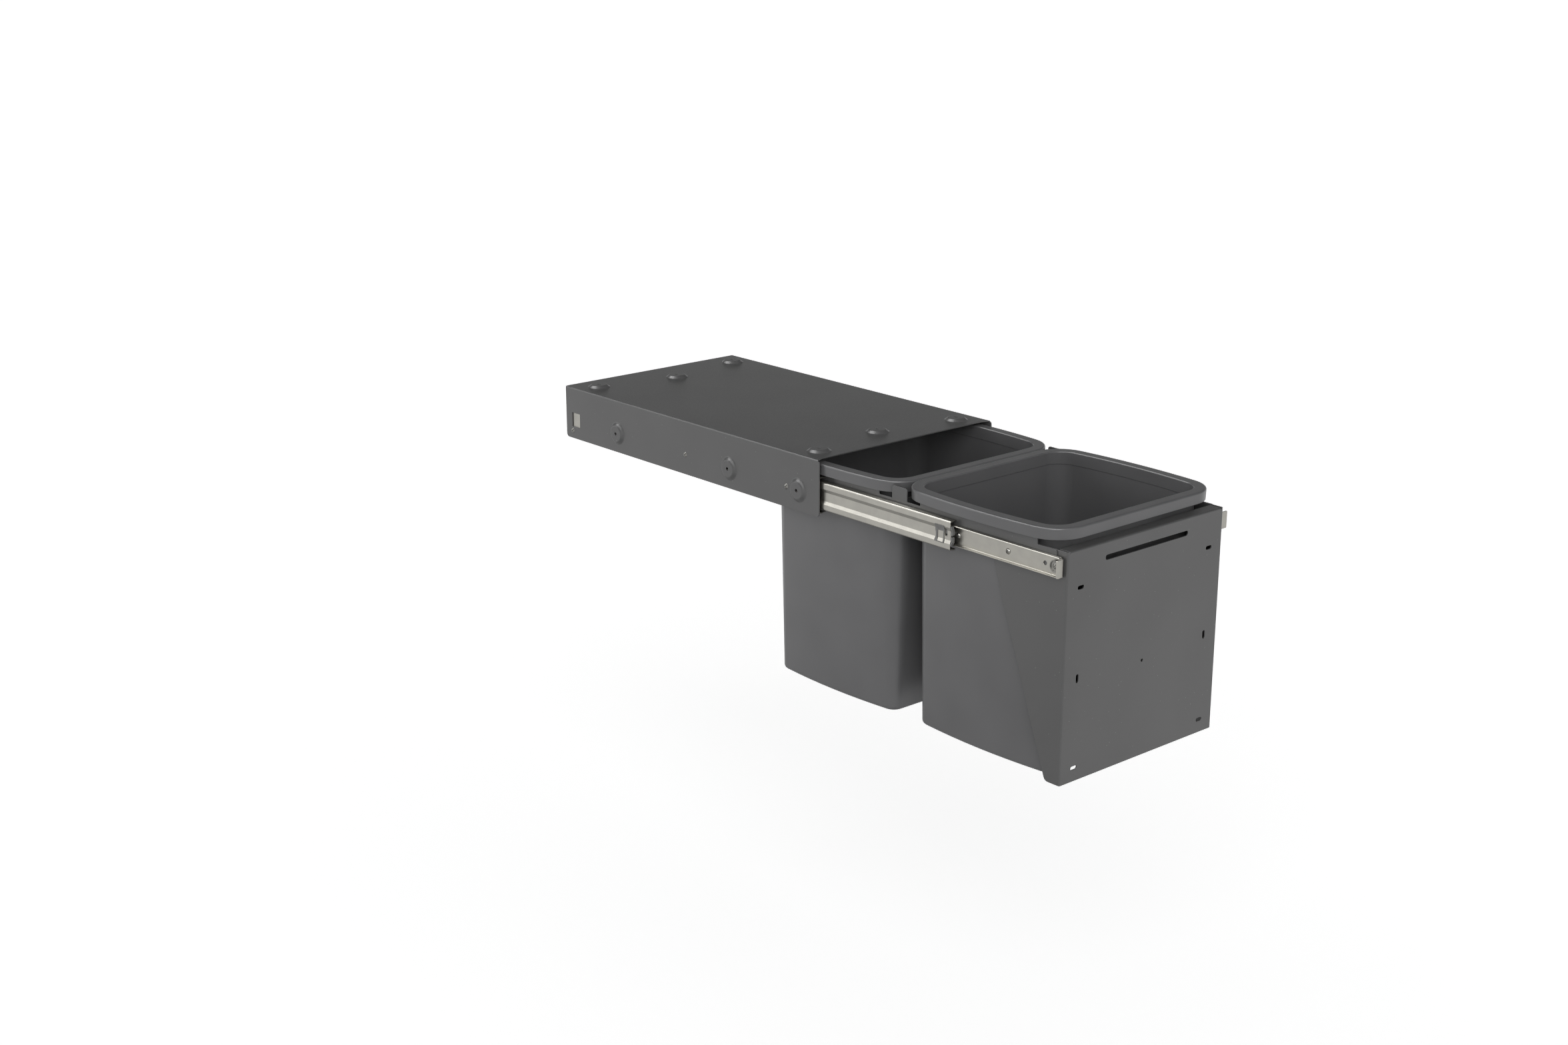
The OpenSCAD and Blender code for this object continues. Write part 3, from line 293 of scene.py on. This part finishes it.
def backdrop_rays(tree, nearness):
    """1 for rays that see the background: the camera's, and those mirrored or let through.

    nearness weakens the mirrored and let through ones where the backdrop ends.
    """
    path = add(tree, "ShaderNodeLightPath").outputs
    passed_on = add(tree, "ShaderNodeMath", operation="MAXIMUM",
                    links={0: path["Is Glossy Ray"], 1: path["Is Transmission Ray"]}).outputs[0]
    passed_on = add(tree, "ShaderNodeMath", operation="MULTIPLY",
                    links={0: passed_on, 1: nearness}).outputs[0]
    return add(tree, "ShaderNodeMath", operation="MAXIMUM",
               links={0: path["Is Camera Ray"], 1: passed_on}).outputs[0]


def floor_material():
    """Matt white card, lifted a little for the camera so that it reads as white."""
    material, tree, place = new_material("matt_white_card")
    card = add(tree, "ShaderNodeBsdfDiffuse", {"Color": linear(FLOOR_ALBEDO)}).outputs["BSDF"]
    away = add(tree, "ShaderNodeVectorMath", links={0: place}, operation="LENGTH").outputs["Value"]
    far = add(tree, "ShaderNodeMapRange", {"From Min": LIFT_START, "From Max": LIFT_END},
              {"Value": away}).outputs["Result"]
    lift = add(tree, "ShaderNodeMath", {1: FLOOR_LIFT}, {0: backdrop_rays(tree, far)},
               operation="MULTIPLY").outputs[0]
    glow = add(tree, "ShaderNodeEmission", links={"Strength": lift}).outputs["Emission"]
    upper = add(tree, "ShaderNodeAddShader", links={0: card, 1: glow}).outputs["Shader"]
    # Clear from below, so that the object's underside can be looked at
    below = add(tree, "ShaderNodeNewGeometry").outputs["Backfacing"]
    clear = add(tree, "ShaderNodeBsdfTransparent").outputs["BSDF"]
    both = add(tree, "ShaderNodeMixShader", links={"Fac": below, 1: upper, 2: clear}).outputs["Shader"]
    add(tree, "ShaderNodeOutputMaterial", links={"Surface": both})
    return material


bpy.ops.mesh.primitive_plane_add(size=FLOOR_SIZE, location=(0, 0, cad_box[0].z - FLOOR_DROP))
floor = bpy.context.object
floor.name = "floor"
floor.data.materials.append(floor_material())

# Studio light: an even dome, four wide soft lamps and three cards, as far off as a sun. The cards
# stand high, so that the top sheet mirrors none of them in a low view. The white backdrop rises a
# little above the horizon. Over it mirrored rays see a dim ceiling.
DOME = 0.35
CEILING = 0.06
# Heights of a direction, as the sine of its elevation
BACKDROP_TOP = 0.09
CEILING_START = 0.20
world = bpy.data.worlds.new("studio_dome")
bpy.context.scene.world = world
world.use_nodes = True
tree = world.node_tree
tree.nodes.clear()
direction = add(tree, "ShaderNodeSeparateXYZ",
                links={"Vector": add(tree, "ShaderNodeTexCoord").outputs["Generated"]})
low = add(tree, "ShaderNodeMapRange",
          {"From Min": BACKDROP_TOP, "From Max": CEILING_START, "To Min": 1.0, "To Max": CEILING},
          {"Value": direction.outputs["Z"]}).outputs["Result"]
path = add(tree, "ShaderNodeLightPath").outputs
dome = add(tree, "ShaderNodeMath", {1: DOME}, {0: path["Is Diffuse Ray"]}, operation="MULTIPLY").outputs[0]
strength = add(tree, "ShaderNodeMath", links={0: dome, 1: backdrop_rays(tree, low)},
               operation="MAXIMUM").outputs[0]
sky = add(tree, "ShaderNodeBackground", {"Color": linear("#ffffff")}, {"Strength": strength})
add(tree, "ShaderNodeOutputWorld", links={"Surface": sky.outputs["Background"]})


def lamp(name, towards, share, spread_deg, for_gloss_only=False):
    """A soft lamp in that direction. share is what it adds to a white card that faces it."""
    data = bpy.data.lights.new(name, "SUN")
    data.energy = share * math.pi
    data.angle = math.radians(spread_deg)
    lamp_object = bpy.data.objects.new(name, data)
    lamp_object.rotation_mode = "QUATERNION"
    lamp_object.rotation_quaternion = Vector(towards).to_track_quat("Z", "Y")
    lamp_object.visible_diffuse = not for_gloss_only
    bpy.context.scene.collection.objects.link(lamp_object)


lamp("rear_left_card", (-0.30, 0.49, 0.82), share=0.70, spread_deg=40, for_gloss_only=True)
lamp("low_left_lamp", (-0.65, 0.72, 0.24), share=0.14, spread_deg=26)
lamp("left_lamp", (-0.58, 0.60, 0.55), share=0.03, spread_deg=60)
lamp("left_card", (-0.57, -0.09, 0.82), share=0.36, spread_deg=36, for_gloss_only=True)
lamp("near_left_lamp", (-0.62, -0.62, 0.48), share=0.31, spread_deg=46)
lamp("near_card", (-0.46, -0.53, 0.71), share=0.50, spread_deg=34, for_gloss_only=True)
lamp("front_lamp", (0.10, -0.94, 0.33), share=0.14, spread_deg=50)

# Camera at the photograph's viewing angle
CAMERA_PLACE = (-1.8377, -2.1382, 0.6818)
CAMERA_AZIMUTH = math.radians(-41.0)
CAMERA_ELEVATION = math.radians(16.83)
SENSOR_WIDTH_MM = 36.0
FOCAL_PX = 3249.3
PHOTO_WIDTH_PX = 2352

camera_data = bpy.data.cameras.new("camera")
camera_data.sensor_width = SENSOR_WIDTH_MM
camera_data.lens = FOCAL_PX * SENSOR_WIDTH_MM / PHOTO_WIDTH_PX
camera = bpy.data.objects.new("camera", camera_data)
camera.location = CAMERA_PLACE
back = Vector((math.sin(CAMERA_AZIMUTH) * math.cos(CAMERA_ELEVATION),
               -math.cos(CAMERA_AZIMUTH) * math.cos(CAMERA_ELEVATION),
               math.sin(CAMERA_ELEVATION)))
camera.rotation_mode = "QUATERNION"
camera.rotation_quaternion = (-back).to_track_quat("-Z", "Y")
bpy.context.scene.collection.objects.link(camera)
bpy.context.scene.camera = camera
bpy.context.scene.view_settings.view_transform = "Standard"
